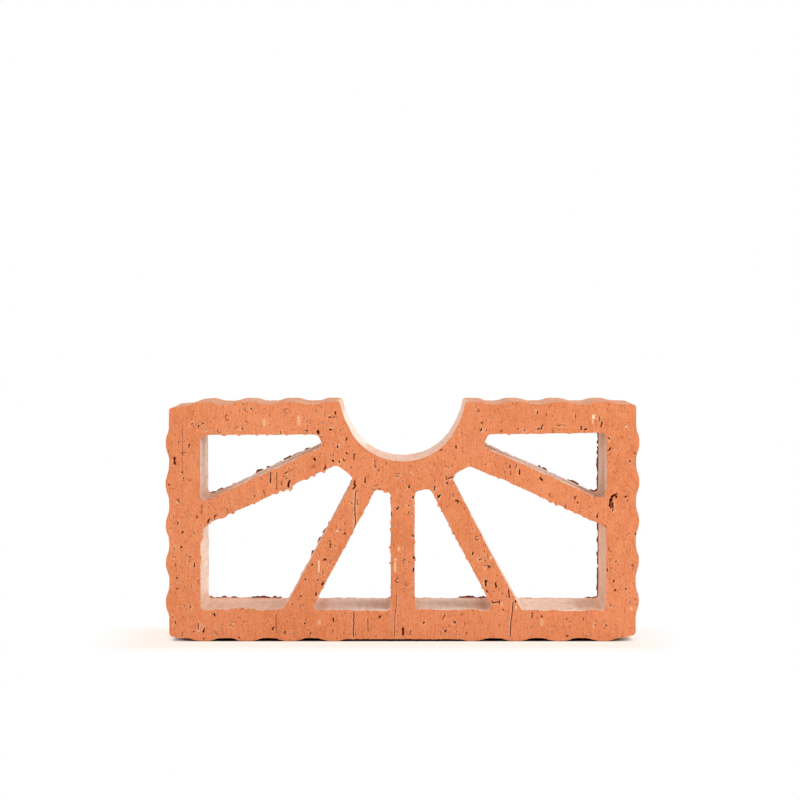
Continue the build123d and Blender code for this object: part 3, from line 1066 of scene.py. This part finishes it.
def floor():
    """A plain pale floor. It keeps the block's shadow, with a painted shadow under the block and a painted
    warm bounce beside it, and is pure white further off.
    """
    bpy.ops.mesh.primitive_plane_add(size=FLOOR_SIZE)
    plane = bpy.context.object
    plane.name = "floor"
    shader = Shader("floor")
    # Painted shadow where the block touches the floor, fading towards its curled ends, and painted warm
    # bounce beside it
    touched = shader.math("LESS_THAN", footprint_distance(shader), CONTACT)
    level = shader.ranged(footprint_distance(shader, narrower=CURLED_ENDS), 0.0, CURL_FADE, 1.0, 0.0)
    under = shader.math("MULTIPLY", touched, level)
    bounced = shader.ranged(footprint_distance(shader, BOUNCE_SIDE), 0.0, BOUNCE_REACH, 1.0, 0.0)
    shaded = footprint_distance(shader, SHADOW_SIDE, SHADOW_NARROWER)
    shadow = shader.math("EXPONENT", shader.math("MULTIPLY", shaded, -1.0 / SHADOW_REACH))
    clear = shader.math("MULTIPLY", shader.math("SUBTRACT", 1.0, shadow), seen(shader))
    paint = shader.add("BsdfDiffuse", {"Color": shader.mixed(under, FLOOR_PAINT, PAINTED_SHADOW_UNDER_BLOCK)})[0]
    glow = shader.add("Emission", {"Color": shader.mixed(bounced, WHITE, BOUNCE)})[0]
    surface = shader.add("MixShader", enumerate((clear, paint, glow)))[0]
    shader.feed(shader.nodes["Material Output"], {"Surface": surface})
    shader.nodes.remove(shader.surface)
    plane.data.materials.append(shader.material)


def footprint_distance(shader, shift=ORIGIN, narrower=0.0):
    """How far in metres a place on the floor is from the block's footprint, moved by shift or narrowed."""
    half_size = (HIGH[0] * MM - narrower, HIGH[1] * MM, 1.0)
    from_middle = shader.vector("ABSOLUTE", shader.vector("SUBTRACT", shader.metres, shift))
    outside = shader.vector("MAXIMUM", shader.vector("SUBTRACT", from_middle, half_size))
    return shader.vector("LENGTH", outside)


def seen(shader):
    """1 for rays that show the background: from the camera, or by gloss or clear glass."""
    path = shader.add("LightPath")
    camera_or_gloss = shader.math("MAXIMUM", path["Is Camera Ray"], path["Is Glossy Ray"])
    return shader.math("MAXIMUM", camera_or_gloss, path["Is Transmission Ray"])


def surroundings():
    """An even white room: pure white to the eye, and a little darker as a light."""
    shader = Shader("white_room", world=True)
    bpy.context.scene.world = shader.material
    strength = shader.ranged(seen(shader), 0.0, 1.0, SKY_LIGHT, 1.0)
    shader.feed(shader.surface, {"Color": WHITE, "Strength": strength})


# Lamps as name, place, width and power, all aimed at about the middle of the block
LAMPS = (
    ("key", (0.75, -1.2, 0.9), 0.7, 6.2),
    ("back right", (1.5, 1.4, 0.42), 1.5, 14.0),
    ("back left", (-1.5, 1.4, 0.6), 1.4, 4.0),
)
LAMP_TARGET = (0.0, 0.0, 0.08)


def lamp(name, place, width, power):
    light = bpy.data.lights.new(name, "AREA")
    light.shape = "DISK"
    light.size = width
    light.energy = power
    aim = (Vector(LAMP_TARGET) - Vector(place)).to_track_quat("-Z", "Y")
    new_object(name, light, place, aim.to_euler())


CAMERA_DISTANCE = 1.85
CAMERA_HEIGHT = 0.216
LENS = 131.76
SENSOR = 36.0
PICTURE = 800
HORIZON_ROW = 300.3
CENTRE_COLUMN = 402.4


def camera():
    """The photograph's view, from just above the block, tilted down until the horizon is on its row."""
    data = bpy.data.cameras.new("camera")
    data.lens = LENS
    data.sensor_width = SENSOR
    focal_pixels = LENS / SENSOR * PICTURE
    tilt = math.atan((PICTURE / 2 - HORIZON_ROW) / focal_pixels)
    pan = math.atan((CENTRE_COLUMN - PICTURE / 2) / focal_pixels)
    place = (0.0, LOW[1] * MM - CAMERA_DISTANCE, CAMERA_HEIGHT)
    bpy.context.scene.camera = new_object("camera", data, place, (math.radians(90) - tilt, 0.0, pan))


outline = Outline(front_outlines(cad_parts["breeze_block"]))
clay = block(outline, [cut_clay(), die_skin()])
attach(clay, "root")
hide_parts("breeze_block")

floor()
surroundings()
for values in LAMPS:
    lamp(*values)
camera()
bpy.context.scene.view_settings.view_transform = "Standard"
